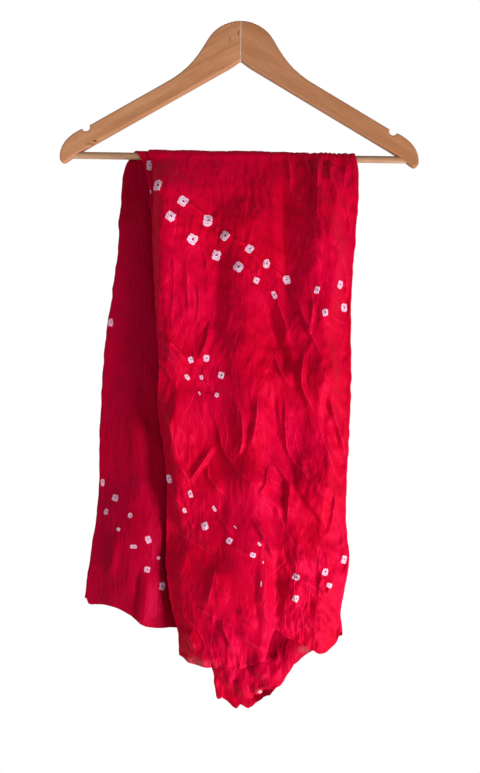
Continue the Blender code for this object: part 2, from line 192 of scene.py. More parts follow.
# Creases: points (x, drop) along one, then how wide it fades out on its left and on its right, and its
# height. Left and right are the viewer's for a crease that runs down; for one that runs to the right, left
# is below. A narrow side is steep, a wide one is a flat facet, and a negative height is a groove
FRONT_CREASES = (
    (((-12, 100), (-22, 134), (-25, 190), (-33, 240)), 24, 9, -3.6),
    (((30, 160), (46, 212), (57, 245), (66, 268)), 22, 5, -4.5),
    (((52, 10), (54, 60), (56, 110), (61, 165), (74, 215)), 7, 21, -4.5),
    (((97, -10), (96, 40), (95, 90)), 4, 8, 3.4),
    (((77, -10), (83, 8), (91, 32)), 2, 3, 3.4),
    (((102, -10), (97, 12), (95, 40)), 2, 3, 3.0),
    (((116, -8), (112, 14), (111, 40)), 2.5, 3, 2.4),
    (((60, -6), (62, 16), (66, 44)), 3, 3, 2.0),
    (((64, 155), (78, 190), (94, 236)), 2.2, 3, 1.8),
    (((46, 168), (53, 192), (63, 218)), 2, 2.5, 1.8),
    (((92, 172), (90, 198), (85, 226)), 2, 2.5, 1.5),
    (((82, 208), (92, 224), (102, 246)), 2, 4, 1.8),
    (((120, 108), (131, 136), (134, 178)), 2, 3.5, 1.6),
    (((127, 44), (134, 70), (139, 100)), 2.5, 4, 1.6),
    (((20, 120), (26, 135), (24, 153)), 1.6, 2, 1.0),
    (((-99, 222), (-82, 238), (-62, 266)), 3.5, 5, 2.4),
    (((-86, 226), (-72, 240), (-58, 258)), 2.5, 3, 1.8),
    (((-104, 244), (-88, 258), (-72, 284)), 3, 4, 1.6),
    (((-34, 205), (-36, 228), (-45, 252)), 2.5, 4, 1.8),
    (((-40, 258), (-38, 270), (-26, 292)), 2, 3, 1.4),
    (((-12, 285), (6, 312), (9, 332), (8, 356), (0, 370)), 7, 2.2, 3.2),
    (((-37, 304), (-20, 333), (-16, 355), (-3, 376), (30, 408)), 2, 10, 2.6),
    (((-24, 352), (-40, 377), (-56, 400)), 4.5, 3.5, 2.4),
    (((-71, 374), (-62, 387), (-52, 404)), 3, 3, 1.9),
    (((-37, 379), (-26, 400), (-8, 418)), 3, 5, 1.8),
    (((-88, 308), (-76, 343), (-79, 378)), 8, 10, 3.0),
    (((-83, 401), (-72, 417), (-60, 432)), 1.8, 2.2, 1.1),
    (((-61, 436), (-54, 446), (-48, 456)), 1.8, 2.2, 1.1),
    (((-88, 448), (-60, 465), (-41, 477), (-20, 489), (12, 502)), 24, 11, -5.0),
    (((110, 288), (122, 325), (137, 370)), 3, 10, 4.2),
    (((56, 280), (61, 311), (61, 345), (66, 367), (80, 381), (101, 412)), 2.4, 13, 2.8),
    (((26, 292), (25, 325), (18, 360)), 4, 11, 4.0),
    (((45, 286), (49, 320), (54, 354)), 6, 3, -2.6),
    (((40, 362), (54, 382), (67, 402), (64, 430), (66, 454)), 2.6, 8, 4.2),
    (((41, 374), (38, 398), (29, 413)), 2.4, 6, 2.2),
    (((28, 408), (44, 420), (52, 430), (54, 444)), 4, 6, 3.0),
    (((21, 442), (38, 465), (51, 496)), 2.8, 7, 4.2),
    (((69, 399), (82, 421), (98, 441), (113, 464)), 15, 3, -4.2),
    (((123, 400), (121, 430), (115, 468)), 3, 13, 4.2),
    (((84, 226), (79, 262), (79, 280), (86, 298), (99, 318)), 3.5, 4, 3.4),
    (((33, 232), (47, 248), (56, 270), (73, 286)), 2.4, 8, 2.8),
    (((-20, 496), (-25, 520), (-32, 552)), 4, 14, 2.6),
    (((41, 484), (38, 508), (38, 535), (42, 562), (45, 600)), 7, 7, 4.6),
    (((71, 474), (75, 500), (73, 522), (76, 545)), 11, 16, 4.6),
    (((-14, 560), (-8, 580), (4, 600)), 2.4, 6, 2.8),
    (((2, 550), (16, 560), (30, 572)), 2.4, 6, 2.4),
    (((2, 574), (22, 588), (46, 600)), 2.4, 7, 3.0),
    (((-24, 578), (-10, 592), (10, 604)), 2.4, 5, 2.2),
    (((-57, 576), (-50, 588), (-42, 600)), 4, 5, 3.0),
    (((82, 550), (96, 570), (114, 585)), 2, 3.5, 1.7),
    (((94, 540), (109, 558), (124, 578)), 2, 3.5, 1.7),
    (((80, 512), (96, 522), (110, 540)), 2, 4, 2.0),
    (((-40, 74), (-30, 86), (-18, 98)), 1.4, 3, 1.0),
    (((-66, 60), (-52, 68), (-38, 78)), 1.4, 3, 1.1),
    (((-14, 102), (0, 108), (14, 114)), 1.4, 3, 0.9),
    (((38, 134), (48, 144), (58, 152)), 1.4, 3, 0.9),
    (((2, 138), (14, 145), (24, 152)), 1.4, 3, 0.9),
    (((26, 155), (36, 162), (46, 170)), 1.4, 3, 0.9),
    (((-50, 106), (-40, 122), (-36, 146)), 1.8, 2.5, 1.3),
    (((-62, 130), (-60, 170), (-56, 210)), 2.5, 4, 1.6),
    (((-48, 150), (-46, 185), (-50, 215)), 2.2, 4, 1.5),
    (((-78, 110), (-76, 160), (-80, 210)), 3, 5, 1.4),
    (((-23, 433), (-14, 446), (0, 462)), 1.5, 2.5, 1.0),
    (((-6, 472), (8, 480), (22, 486)), 1.5, 2.5, 1.0),
)
MIDDLE_CREASES = (
    (((-6, 618), (-4, 636), (-6, 656)), 3, 5, 3.0),
    (((8, 640), (10, 652), (22, 664)), 3, 4, 2.6),
    (((18, 618), (30, 632), (46, 636)), 3, 6, 3.2),
    (((20, 668), (36, 660), (56, 648)), 3, 3, -3.0),
    (((58, 604), (52, 622), (56, 642)), 3, 4, 2.6),
)
# Towards the viewer on the inner layer behind, so that heights there are taken off its depth
INNER_BACK_CREASES = (
    (((-106, 500), (-110, 540), (-117, 590)), 3, 14, 4.5),
    (((-131, 440), (-120, 462), (-106, 490)), 2.2, 5, 2.2),
    (((-119, 438), (-108, 468), (-92, 506)), 2.2, 5, 2.0),
    (((-142, 460), (-148, 490), (-152, 530)), 3, 5, 2.4),
    (((-124, 290), (-117, 370), (-112, 450)), 10, 9, 3.0),
    (((-128, 486), (-126, 510), (-130, 548)), 3, 4, 1.8),
)
OUTER_BACK_CREASES = (
    (((-70, 60), (-50, 150), (-60, 260)), 8, 14, 4.0),
    (((10, 20), (0, 120), (14, 230)), 5, 12, 4.0),
    (((70, 40), (84, 150), (70, 300)), 10, 6, 4.0),
    (((110, 200), (96, 300), (112, 420)), 6, 9, 3.4),
    (((-70, 300), (-30, 360), (-50, 480)), 4, 14, 4.0),
    (((-10, 280), (22, 360), (10, 470)), 6, 12, 4.4),
    (((40, 380), (60, 460), (44, 570)), 5, 12, 4.0),
    (((-60, 480), (-20, 520), (-16, 570)), 4, 10, 3.4),
    (((20, 200), (44, 260), (40, 330)), 3, 8, 3.0),
    (((90, 440), (100, 500), (92, 570)), 5, 9, 3.4),
)

# Thin pressed lines on the front: points (x, drop), width and height
FRONT_LINES = (
    (((-15, 285), (2, 306), (0, 350)), 1.2, 1.2),
    (((64, 155), (76, 186), (88, 222)), 1.2, 1.0),
    (((46, 172), (56, 200), (66, 232)), 1.2, 1.0),
    (((86, 150), (92, 190), (88, 230)), 1.2, 0.9),
    (((-62, 130), (-58, 170), (-60, 205)), 1.3, 0.8),
    (((-84, 226), (-70, 240), (-58, 256)), 1.2, 1.0),
    (((-100, 226), (-84, 244), (-64, 268)), 1.2, 1.0),
    (((-94, 240), (-78, 256), (-66, 280)), 1.2, 0.8),
    (((-40, 274), (-30, 284), (-14, 300)), 1.1, 1.0),
    (((-52, 256), (-44, 272), (-34, 290)), 1.1, 0.9),
    (((-34, 206), (-37, 230), (-46, 250)), 1.3, 0.9),
    (((-20, 300), (-10, 340), (-14, 372)), 1.3, 0.8),
    (((-90, 400), (-74, 416), (-58, 436)), 1.2, 0.9),
    (((-66, 372), (-58, 392), (-54, 410)), 1.2, 0.9),
    (((-50, 300), (-40, 330), (-30, 360)), 1.2, 0.8),
    (((28, 376), (40, 392), (60, 404)), 1.2, 0.9),
    (((70, 330), (78, 366), (96, 400)), 1.3, 1.0),
    (((100, 330), (112, 360), (128, 400)), 1.3, 1.0),
    (((90, 380), (110, 420), (130, 450)), 1.3, 0.9),
    (((52, 420), (60, 452), (78, 480)), 1.3, 0.9),
    (((16, 120), (26, 136), (22, 152)), 1.1, 0.8),
    (((30, 320), (36, 350), (30, 380)), 1.3, 0.8),
    (((-82, 454), (-50, 472), (-20, 490)), 1.4, 0.9),
    (((-50, 548), (-20, 560), (6, 572)), 1.4, 0.8),
    (((-60, 560), (-40, 580), (-30, 600)), 1.4, 0.8),
    (((84, 480), (92, 520), (88, 560)), 1.3, 1.0),
    (((100, 470), (106, 510), (118, 560)), 1.3, 0.9),
)
RANDOM_LINES = 120

# Where crepe crinkles are stronger or weaker than elsewhere: x, drop, half width, half height, change
CRINKLE_ZONES = (
    (100, 540, 45, 70, 1.1),
    (20, 645, 60, 35, 1.0),
    (0, 470, 26, 90, -0.5),
    (10, 560, 26, 50, -0.3),
    (-60, 180, 50, 90, 0.25),
    (-50, 590, 30, 40, 0.4),
    (110, 20, 45, 26, 0.5),
)

# Tied dots: x, drop, half width, half height, and how many degrees the top leans right
FRONT_DOTS = (
    (-98.2, 41.5, 4.8, 6.7, 15), (-67, 60, 5.5, 6.0, 38), (-81.2, 80, 5.5, 5.5, 30),
    (-37, 82, 5.4, 7.0, 14), (-55, 106, 5.4, 6.0, 25), (-16, 101, 5.0, 5.5, 38),
    (-26, 124, 4.9, 5.9, 15), (14, 117, 4.4, 4.9, 42), (1, 139, 5.5, 5.8, 40),
    (35, 134, 3.9, 5.4, 6), (23, 155, 3.3, 3.8, 20), (60, 153, 4.2, 5.3, -20),
    (45, 172, 2.6, 4.6, -25), (96, 166, 2.9, 4.4, 15), (125, 158, 3.2, 5.1, 15),
    (106, 193, 3.4, 4.2, -10), (131, 185, 3.6, 5.2, 0), (-55, 252, 2.9, 3.8, -20),
    (-36, 250, 3.4, 4.2, 6), (-18, 270, 3.5, 4.1, 12), (-59, 273, 2.4, 3.6, -30),
    (-42, 273, 2.1, 2.7, -10), (-23, 294, 2.5, 2.6, 20), (-44, 292, 0.9, 2.4, -30),
    (-80, 397, 3.3, 5.2, -25), (-53, 414, 2.4, 4.5, -15), (-60, 434, 2.2, 3.1, -20),
    (-24, 431, 1.7, 3.6, -30), (-35, 452, 3.9, 4.6, -20), (1.5, 452, 0.6, 2.2, -45),
    (-5.3, 468, 3.3, 3.6, 25), (23.3, 484, 3.5, 2.9, 20), (30.7, 471.3, 1.4, 2.8, -35),
    (35.5, 493, 0.7, 1.5, 0), (33.5, 518, 0.7, 3.0, 0), (75.4, 510.8, 4.2, 3.8, 20),
    (111, 506, 3.5, 4.3, 10), (135, 493, 3.0, 5.0, 5), (116.2, 522, 3.5, 2.9, 25),
    (75.2, 536, 3.6, 4.2, 20),
)
MIDDLE_DOTS = ((35, 657, 2.2, 1.7, 20), (-110.5, 13, 3.1, 6.3, 0), (-109, 46, 1.6, 2.5, 0))
INNER_BACK_DOTS = (
    (-157, 206, 3.0, 4.8, 0), (-164, 405, 2.4, 4.4, 0), (-147, 423, 3.9, 4.2, 15),
    (-158, 440, 2.5, 3.7, 8), (-127.4, 443, 2.8, 2.8, 25), (-141.7, 460.5, 2.3, 2.3, 10),
    (-104.5, 472, 3.3, 4.4, -25), (-122.5, 480.8, 4.4, 2.4, 0), (-91.8, 494.8, 2.2, 1.9, 10),
    (-105.3, 508.4, 3.4, 3.5, 15), (-87, 529.5, 3.2, 5.0, 10),
)
# Double rows of dots across the back: x and drop of the first, step in x and drop, and their number
BACK_DOT_ROWS = (
    (-88, 52, 27, 19, 9),
    (-104, 74, 27, 19, 9),
    (-84, 236, 25, 21, 9),
    (-98, 258, 25, 21, 9),
    (-80, 404, 25, 17, 8),
    (-92, 426, 25, 17, 8),
)

# Where the sheet is thin enough to let the light behind it through, which is painted in as a paler colour:
# x, drop, half width, half height and strength
OUTER_SHEER = ((-48, 617, 17, 5, 1.0),)
MIDDLE_SHEER = ((92, 604, 10, 5, 1.0), (32, 656, 3.5, 2.5, 1.0))

# A dot's outline is a rounded square: this power of both offsets adds up to 1
DOT_SQUARENESS = 3.6
# Place of anything that lies outside every dot, or beside every line, in their own widths
OUTSIDE = 9.0
# How far from a line, in millimetres beyond its width, its height still counts
LINE_REACH = 2.6

# Wood: the arms' slope, and the knots and stains on the left one, each a middle, half sizes and strength,
# in metres
ARM_SLOPE = math.radians(28.8)
LEFT_STAINS = (
    ((-0.178, -0.0065, -0.1514), (0.0030, 0.02, 0.0016), 0.95),
    ((-0.184, -0.0065, -0.1550), (0.0070, 0.02, 0.0012), 0.55),
    ((-0.0030, -0.0065, -0.0158), (0.0014, 0.02, 0.0045), 0.7),
    ((-0.0133, -0.0065, -0.0246), (0.0020, 0.02, 0.0050), 0.35),
)
# For each node its finish's name, the grain's angle, its light and dark colours, and its stains
WOODS = {
    "hanger_arm_left": (
        "arm_wood_left", ARM_SLOPE, (0.53, 0.245, 0.115, 1), (0.42, 0.172, 0.074, 1), LEFT_STAINS,
    ),
    "hanger_arm_right": (
        "arm_wood_right", -ARM_SLOPE, (0.47, 0.205, 0.095, 1), (0.37, 0.150, 0.063, 1), (),
    ),
    "trouser_bar": ("bar_wood", 0.0, (0.47, 0.28, 0.165, 1), (0.34, 0.175, 0.092, 1), ()),
}

# Camera: it looks level along +Y at the hanger's plane, turned a little on its own axis
CAMERA_DISTANCE = 1.35
CAMERA_X = 0.00495
CAMERA_Z = -0.4513
CAMERA_ROLL = math.radians(0.8)
FRAME_HEIGHT_AT_HANGER = 0.957
SENSOR = 36.0

# Studio, in metres: the floor's height and half side, and soft square lights, each a name, a place, a side
# and a power, aimed at the cloth's middle
FLOOR_Z = -1.95
FLOOR_HALF_SIDE = 1.6
LIT_PLACE = (0.0, 0.0, -0.45)
LIGHTS = (
    ("key_low_right", (1.40, -1.01, -1.35), 0.55, 56.0),
    ("fill_left", (-1.3, -1.4, -0.2), 1.0, 8.0),
    ("behind", (0.0, 1.5, 0.6), 0.5, 14.0),
)


def smoothstep(value):
    """0 below 0, 1 above 1, and an even S between: 3t squared minus 2t cubed."""
    value = np.clip(value, 0.0, 1.0)
    return value * value * (3.0 - 2.0 * value)


def read(table, columns, name, at):
    """A table's column at a place in its first column, joined by cubic Hermite curves."""
    rows = np.array(table, float)
    x, y = rows[:, 0], rows[:, columns.index(name)]
    slope = np.gradient(y, x)
    at = np.clip(at, x[0], x[-1])
    i = np.clip(np.searchsorted(x, at, side="right") - 1, 0, len(x) - 2)
    width = x[i + 1] - x[i]
    t = (at - x[i]) / width
    start = (1 + 2 * t) * (1 - t) ** 2 * y[i] + t * (1 - t) ** 2 * width * slope[i]
    end = t * t * (3 - 2 * t) * y[i + 1] + t * t * (t - 1) * width * slope[i + 1]
    return start + end


def noise(u, v, seed):
    """Gradient noise, about -1 to 1: random slopes at whole-number places, mixed by even S curves."""
    size = 64
    angles = np.random.default_rng(seed).uniform(0.0, 2 * math.pi, (size, size))
    u, v = np.broadcast_arrays(u, v)
    iu, iv = np.floor(u).astype(int), np.floor(v).astype(int)
    fu, fv = u - iu, v - iv
    total = np.zeros(u.shape)
    for du in (0, 1):
        for dv in (0, 1):
            angle = angles[(iu + du) % size, (iv + dv) % size]
            weight = smoothstep(1 - abs(fu - du)) * smoothstep(1 - abs(fv - dv))
            total += weight * (np.cos(angle) * (fu - du) + np.sin(angle) * (fv - dv))
    return total * 1.5


def flat_faces(u, v, seed):
    """Random heights, -1 to 1, at whole-number places, joined by flat triangles: from a unit square's near
    corner the longer offset is taken along its side first, and then the shorter one."""
    size = 64
    heights = np.random.default_rng(seed).uniform(-1.0, 1.0, (size, size))
    u, v = np.broadcast_arrays(u, v)
    iu, iv = np.floor(u).astype(int), np.floor(v).astype(int)
    fu, fv = u - iu, v - iv
    near = heights[iu % size, iv % size]
    far = heights[(iu + 1) % size, (iv + 1) % size]
    beside = np.where(fu > fv, heights[(iu + 1) % size, iv % size], heights[iu % size, (iv + 1) % size])
    first, second = np.maximum(fu, fv), np.minimum(fu, fv)
    return near + first * (beside - near) + second * (far - beside)


def facets(u, v, seed):
    """Crumpled sheet: flat faces read at places that coarser flat faces have shifted, which bends their
    borders and makes them unequal."""
    shift_u = 0.55 * flat_faces(u * 0.6 + 7.3, v * 0.6, seed + 50)
    shift_v = 0.55 * flat_faces(u * 0.6, v * 0.6 + 3.1, seed + 51)
    return flat_faces(u + shift_u, v + shift_v, seed)


def crinkles(x, drop, seed, lean):
    """Crepe crinkles on a leaning grid that is long down the cloth and short across it, bent by slower
    noise: the sum of crumpled facets in three sizes and of fine ridged noise, 0.4 minus its size."""
    bend = 12.0 * noise(x / 60, drop / 80, seed)
    across = x - lean * drop + bend
    total = np.zeros(np.broadcast(x, drop).shape)
    for i, (wide, long, height, slant) in enumerate(FACET_SIZES):
        u, v = (x + slant * drop + bend) / wide, (drop + 1.4 * bend) / long
        total += height * facets(u, v, seed + 1 + i)
    for i, (wide, long, height) in enumerate(RIDGE_SIZES):
        u, v = (across + bend) / wide, (drop - bend) / long
        total += height * (0.4 - abs(noise(u, v, seed + 5 + i)))
    return total


def zone_sum(x, drop, zones):
    """Sum of soft oval zones: each is its strength times a bell curve of x and drop."""
    total = np.zeros(np.broadcast(x, drop).shape)
    for x0, drop0, half_width, half_height, strength in zones:
        total += strength * np.exp(-(((x - x0) / half_width) ** 2) - ((drop - drop0) / half_height) ** 2)
    return total


def ridges(x, drop, folds):
    """Sum of soft ridges: each is its height times a bell curve of the distance to its line, whose width
    passes from the left side's to the right side's over 12 mm."""
    total = np.zeros(np.broadcast(x, drop).shape)
    for x0, drop0, x1, drop1, left, right, height in folds:
        across, down = x1 - x0, drop1 - drop0
        t = np.clip(((x - x0) * across + (drop - drop0) * down) / (across**2 + down**2), 0, 1)
        distance2 = (x - x0 - t * across) ** 2 + (drop - drop0 - t * down) ** 2
        beyond = (x - x0) * down - (drop - drop0) * across
        width = left + (right - left) * smoothstep(0.5 + beyond / math.hypot(across, down) / 12)
        total += height * np.exp(-distance2 / width**2)
    return total


def crease_path(points, steps=12):
    """A smooth curve through a crease's points, as cubic Hermite curves of each coordinate."""
    rows = [(i, *point) for i, point in enumerate(points)]
    at = np.linspace(0, len(points) - 1, steps + 1)
    columns = ("place", "x", "drop")
    return np.stack([read(rows, columns, "x", at), read(rows, columns, "drop", at)], axis=1)


def creases(x, drop, table):
    """Sum of creases: each falls evenly from its height at the crest to nothing at that side's width, so
    that both sides are flat facets, and tapers to both ends."""
    x, drop = np.broadcast_arrays(x, drop)
    total = np.zeros(x.shape)
    for points, left, right, height in table:
        path = crease_path(points)
        nearest = np.full(x.shape, np.inf)
        place = np.zeros(x.shape)
        side = np.zeros(x.shape)
        for i, (a, b) in enumerate(zip(path[:-1], path[1:])):
            step = b - a
            px, pd = x - a[0], drop - a[1]
            t = np.clip((px * step[0] + pd * step[1]) / (step @ step), 0, 1)
            distance2 = (px - t * step[0]) ** 2 + (pd - t * step[1]) ** 2
            closer = distance2 < nearest
            nearest = np.where(closer, distance2, nearest)
            place = np.where(closer, (i + t) / (len(path) - 1), place)
            side = np.where(closer, step[0] * pd - step[1] * px, side)
        width = CREASE_SCALE * np.where(side > 0, left, right)
        taper = smoothstep(place / 0.3) * smoothstep((1 - place) / 0.3)
        total += CREASE_SCALE * height * taper * np.clip(1 - np.sqrt(nearest) / width, 0, 1)
    return total


def pressed_lines():
    """Thin pressed lines of the front: those listed, the crests of its creases, one between each two
    tied dots that are close and in line, and short random ones. Each has points, width and height."""
    lines = list(FRONT_LINES)
    lines += [(points, 1.3, 0.22 * height + 0.3) for points, _, _, height in FRONT_CREASES if height > 0]
    for i, a in enumerate(FRONT_DOTS):
        for b in FRONT_DOTS[i + 1:]:
            across, down = b[0] - a[0], b[1] - a[1]
            if 14 < math.hypot(across, down) < 32 and across * down > 0 and abs(across) > 8:
                bow = (a[0] + b[0]) / 2 + 1.5, (a[1] + b[1]) / 2 - 2.5
                lines.append(((a[:2], bow, b[:2]), 2.4, -0.5))
    spread = np.random.default_rng(SEEDS["lines"])
    for _ in range(RANDOM_LINES):
        x, drop = spread.uniform(-100, 135), spread.uniform(15, 610)
        lean = math.radians(spread.normal(-14 if x > -20 else 4, 24))
        length, bow, width, height = spread.uniform((14, -3, 1.2, 0.15), (48, 3, 2.0, 0.5))
        step = np.array([-math.sin(lean), math.cos(lean)]) * length / 2
        middle = (x + bow, drop + bow / 2)
        height *= crinkle_strength(x, drop) + 0.35
        ends = (x - step[0], drop - step[1]), (x + step[0], drop + step[1])
        lines.append(((ends[0], middle, ends[1]), width, height))
    return lines


def line_map(x, drop, lines):
    """For each point, its signed distance to the nearest thin line in widths of that line, and that line's
    height, which tapers to the line's ends and is 0 beyond its reach."""
    nearest, offset, height = np.full(x.shape, OUTSIDE), np.full(x.shape, OUTSIDE), np.zeros(x.shape)
    for points, width, line_height in lines:
        path = crease_path(points, 6)
        low, high = path.min(axis=0) - 8, path.max(axis=0) + 8
        near = np.flatnonzero((x > low[0]) & (x < high[0]) & (drop > low[1]) & (drop < high[1]))
        for i, (a, b) in enumerate(zip(path[:-1], path[1:])):
            step = b - a
            px, pd = x[near] - a[0], drop[near] - a[1]
            t = np.clip((px * step[0] + pd * step[1]) / (step @ step), 0, 1)
            away = np.hypot(px - t * step[0], pd - t * step[1])
            side = np.where(step[0] * pd - step[1] * px > 0, 1.0, -1.0)
            place = (i + t) / (len(path) - 1)
            closer = away / width < nearest[near]
            found = near[closer]
            nearest[found] = (away / width)[closer]
            offset[found] = (side * away / width)[closer]
            taper = smoothstep(place / 0.35) * smoothstep((1 - place) / 0.35) * (away < LINE_REACH + width)
            height[found] = (line_height * taper)[closer]
    return offset, height


def dot_offsets(x, drop, dot):
    """Place of a point in a dot's own frame, turned with it and 1 at its rim in each direction."""
    x0, drop0, half_width, half_height, lean = dot
    c, s = math.cos(math.radians(lean)), math.sin(math.radians(lean))
    u = ((x - x0) * c + (drop - drop0) * s) / half_width
    v = ((drop - drop0) * c - (x - x0) * s) / half_height
    return u, v


def puckers(x, drop, dots):
    """Tied points: a low peak on each dot, with five small pleats round it that die out at 3 radii."""
    total = np.zeros(np.broadcast(x, drop).shape)
    for i, dot in enumerate(dots):
        u, v = dot_offsets(x, drop, dot)
        r = np.hypot(u, v)
        pleats = 0.35 * np.cos(5 * np.arctan2(v, u) + i) * np.exp(-(((r - 1.7) / 0.7) ** 2))
        total += (dot[2] + dot[3]) / 10 * (0.9 * np.exp(-((r / 0.8) ** 2)) + pleats)
    return total


def back_dots():
    """The double rows of dots across the back, each a little out of line."""
    spread = np.random.default_rng(SEEDS["back_dots"])
    dots = []
    for x0, drop0, step_x, step_drop, count in BACK_DOT_ROWS:
        for i in range(count):
            dx, dd, size, squash = spread.uniform(-1, 1, 4)
            half = 5.6 + 0.7 * size - 0.0015 * drop0
            x = x0 + i * step_x + 3.5 * dx
            drop = drop0 + i * step_drop + 3 * dd
            dots.append((x, drop, half * (1 - 0.12 * squash), half * (1 + 0.12 * squash), 40 * dx))
    return tuple(dots)


DOTS = {
    ("outer", "front"): FRONT_DOTS,
    ("middle", "front"): MIDDLE_DOTS,
    ("inner", "front"): (),
    ("outer", "back"): back_dots(),
    ("middle", "back"): (),
    ("inner", "back"): INNER_BACK_DOTS,
}


def bar_radius_of(layer, x):
    """Radius of a layer over the bar: the bar's own, and for each layer below it a step, loose at the left
    and tight at the right, and half of the scallops, a sine's size at the right, and of soft noise."""
    tight = smoothstep((x - 30) / 100)
    pitch = LOOSE_PITCH + (TIGHT_PITCH - LOOSE_PITCH) * tight
    count = LAYERS.index(layer)
    scallops = 1.3 * np.sin(x / 2.3 + 1.5 * np.sin(x / 9)) * smoothstep((x - 60) / 40)
    soft = 0.8 * noise(x / 16, 0.3, SEEDS["on_bar"])
    return BAR_RADIUS + SHEET_ON_BAR + pitch * count + (count / 2) * (abs(scallops) + soft + 0.4)


def top_pleats(x, drop):
    """Short gathers under the bar at the right: a sine across, its phase bent by another, dying out
    downwards and to the left."""
    wave = 0.8 * np.sin(x / 2.9 + 1.2 * np.sin(x / 11) + drop / 30)
    below = smoothstep(1 - drop / PLEAT_DROP) * smoothstep((drop + 3) / 10)
    return wave * smoothstep((x - 40) / 50) * below


def crinkle_strength(x, drop):
    """How crinkled the front is at a place, 1 on average."""
    return np.clip(0.75 + zone_sum(x, drop, CRINKLE_ZONES), 0.3, 2.0)


def settled_depth(layer, x, drop, hanging, detail):
    """A layer's depth: its radius on the bar passes into its hanging depth by an S over the settling drop,
    quicker at first, and its detail comes in by a shorter one from just above the bar's middle."""
    share = smoothstep(np.clip(drop / SETTLING_DROP, 0.0, 1.0) ** 0.75)
    return bar_radius_of(layer, x) * (1 - share) + hanging * share + detail * smoothstep((drop + 6) / 20)


def kept_apart(depth, floor):
    """A depth kept a least gap beyond its floor, rounded where it meets it: with d for what is left over
    the gap, the gap's end plus half the sum of d and the root of d squared and the rounding squared."""
    over = depth - floor - LEAST_LAYER_GAP
    return floor + LEAST_LAYER_GAP + (over + np.sqrt(over**2 + GAP_ROUNDING**2)) / 2


def front_depth(layer, x, drop, left_edge, right_fold):
    """How far a layer hangs in front of the bar's middle: its hanging depth and a slow wave, and on the
    outer and middle layers their folds, creases and crinkles, which fade out towards the right fold. The
    outer layer carries the middle one's too, lifts off it, and is kept beyond it."""
    sway = SWAY * np.sin(x / 27 + drop / 160) * smoothstep(drop / 250)
    hanging = HANGING_DEPTH[layer] + sway
    if layer == "inner":
        return settled_depth(layer, x, drop, hanging, 0.0)
    fade = smoothstep((right_fold - x) / (27 + 11 * noise(drop / 40, x / 90, SEEDS["fold_fade"])))
    under = (ridges(x, drop, MIDDLE_FOLDS) + creases(x, drop, MIDDLE_CREASES)) * fade
    crumpled = MIDDLE_CRINKLES * crinkles(x, drop, SEEDS["middle_crinkles"], 0.1)
    under += crumpled * smoothstep((drop - 590) / 30) * fade
    beside = HANGING_DEPTH["middle"] - HANGING_DEPTH[layer]
    middle = settled_depth("middle", x, drop, hanging + beside, under)
    if layer == "middle":
        return middle
    left_fade = smoothstep((x - left_edge) / 16)
    lift = OUTER_LIFT * smoothstep((drop - 2) / 95) * fade * left_fade
    edge_fade = smoothstep((right_fold - x) / 5)
    detail = creases(x, drop, FRONT_CREASES) + puckers(x, drop, FRONT_DOTS) + top_pleats(x, drop)
    detail += crinkle_strength(x, drop) * crinkles(x, drop, SEEDS["outer_crinkles"], 0.22)
    folds = ridges(x, drop, FRONT_FOLDS) * smoothstep((drop + 2) / (50 + 60 * smoothstep(x / 80)))
    detail = under + detail * edge_fade + (folds + lift) * fade
    return kept_apart(settled_depth("outer", x, drop, hanging, detail), middle)


def back_depth(layer, x, drop):
    """How far a layer hangs behind the bar's middle: its hanging depth, a slow wave and the back's folds,
    less a flap that brings the part past the front's left fold forward. The flap is a bell curve of the
    way past that fold, and low down it is wider and deeper."""
    sway = SWAY * np.sin(x / 30 - drop / 200) * smoothstep(drop / 250)
    past_fold = read(FRONT_EDGES, EDGE_COLUMNS, "left_fold", drop) - x
    low = smoothstep((drop - 400) / 70)
    nearness = np.exp(-((np.clip(past_fold - 8, 0, None) / (42 + 40 * low)) ** 2))
    forward = nearness * smoothstep((past_fold + 12 - 6 * low) / 14)
    flap = (FLAP + LOW_FLAP * low) * smoothstep((drop - 20) / 70)
    shared = sway - flap * forward + ridges(x, drop, BACK_FOLDS)
    middle = settled_depth("middle", x, drop, HANGING_DEPTH["middle"] + shared, 0.0)
    if layer == "middle":
        return middle
    if layer == "inner":
        detail = ridges(x, drop, INNER_BACK_FOLDS) * smoothstep((drop - 30) / 60)
        detail = detail - creases(x, drop, INNER_BACK_CREASES)
        crumpled = INNER_BACK_CRINKLES * crinkles(x, drop, SEEDS["inner_back_crinkles"], 0.05)
        detail -= puckers(x, drop, INNER_BACK_DOTS) + crumpled
        own = settled_depth(layer, x, drop, HANGING_DEPTH[layer] + shared, detail)
        return -kept_apart(-own, -middle)
    detail = 4.0 * smoothstep((drop - 10) / 90) + creases(x, drop, OUTER_BACK_CREASES)
    crumpled = OUTER_BACK_CRINKLES * crinkles(x, drop, SEEDS["outer_back_crinkles"], -0.15)
    detail += puckers(x, drop, DOTS["outer", "back"]) + crumpled
    edge_fade = smoothstep((read(BACK_EDGES, EDGE_COLUMNS, "right_fold", drop) - x) / 14)
    own = settled_depth(layer, x, drop, HANGING_DEPTH[layer] + shared, detail * edge_fade)
    return kept_apart(own, middle)


def edges_of(layer, table, drop):
    """The x of a layer's left and right edge at a drop, with the fine ripple of a selvedge."""
    seed = SEEDS["front_edges"] if table is FRONT_EDGES else SEEDS["back_edges"]
    ripple = 0.9 * smoothstep(drop / 40)
    right = read(table, EDGE_COLUMNS, "right_fold", drop) + ripple * noise(drop / 11, 0.5, seed)
    left = read(table, EDGE_COLUMNS, "left_fold", drop) + ripple * noise(drop / 11, 0.5, seed + 1)
    if layer == "outer":
        left = read(table, EDGE_COLUMNS, "outer_selvedge", drop) + ripple * noise(drop / 9, 0.5, seed + 2)
    if layer == "inner":
        right = right - INNER_SELVEDGE_INSET
    return left, right


def hem_drop(layer, table, share):
    """Drop of a layer's hem at a share of its width, slightly ragged."""
    seed = SEEDS["hems"] + LAYERS.index(layer)
    return read(table[layer], HEM_COLUMNS, "drop", share) + noise(share * 24, 0.5, seed)


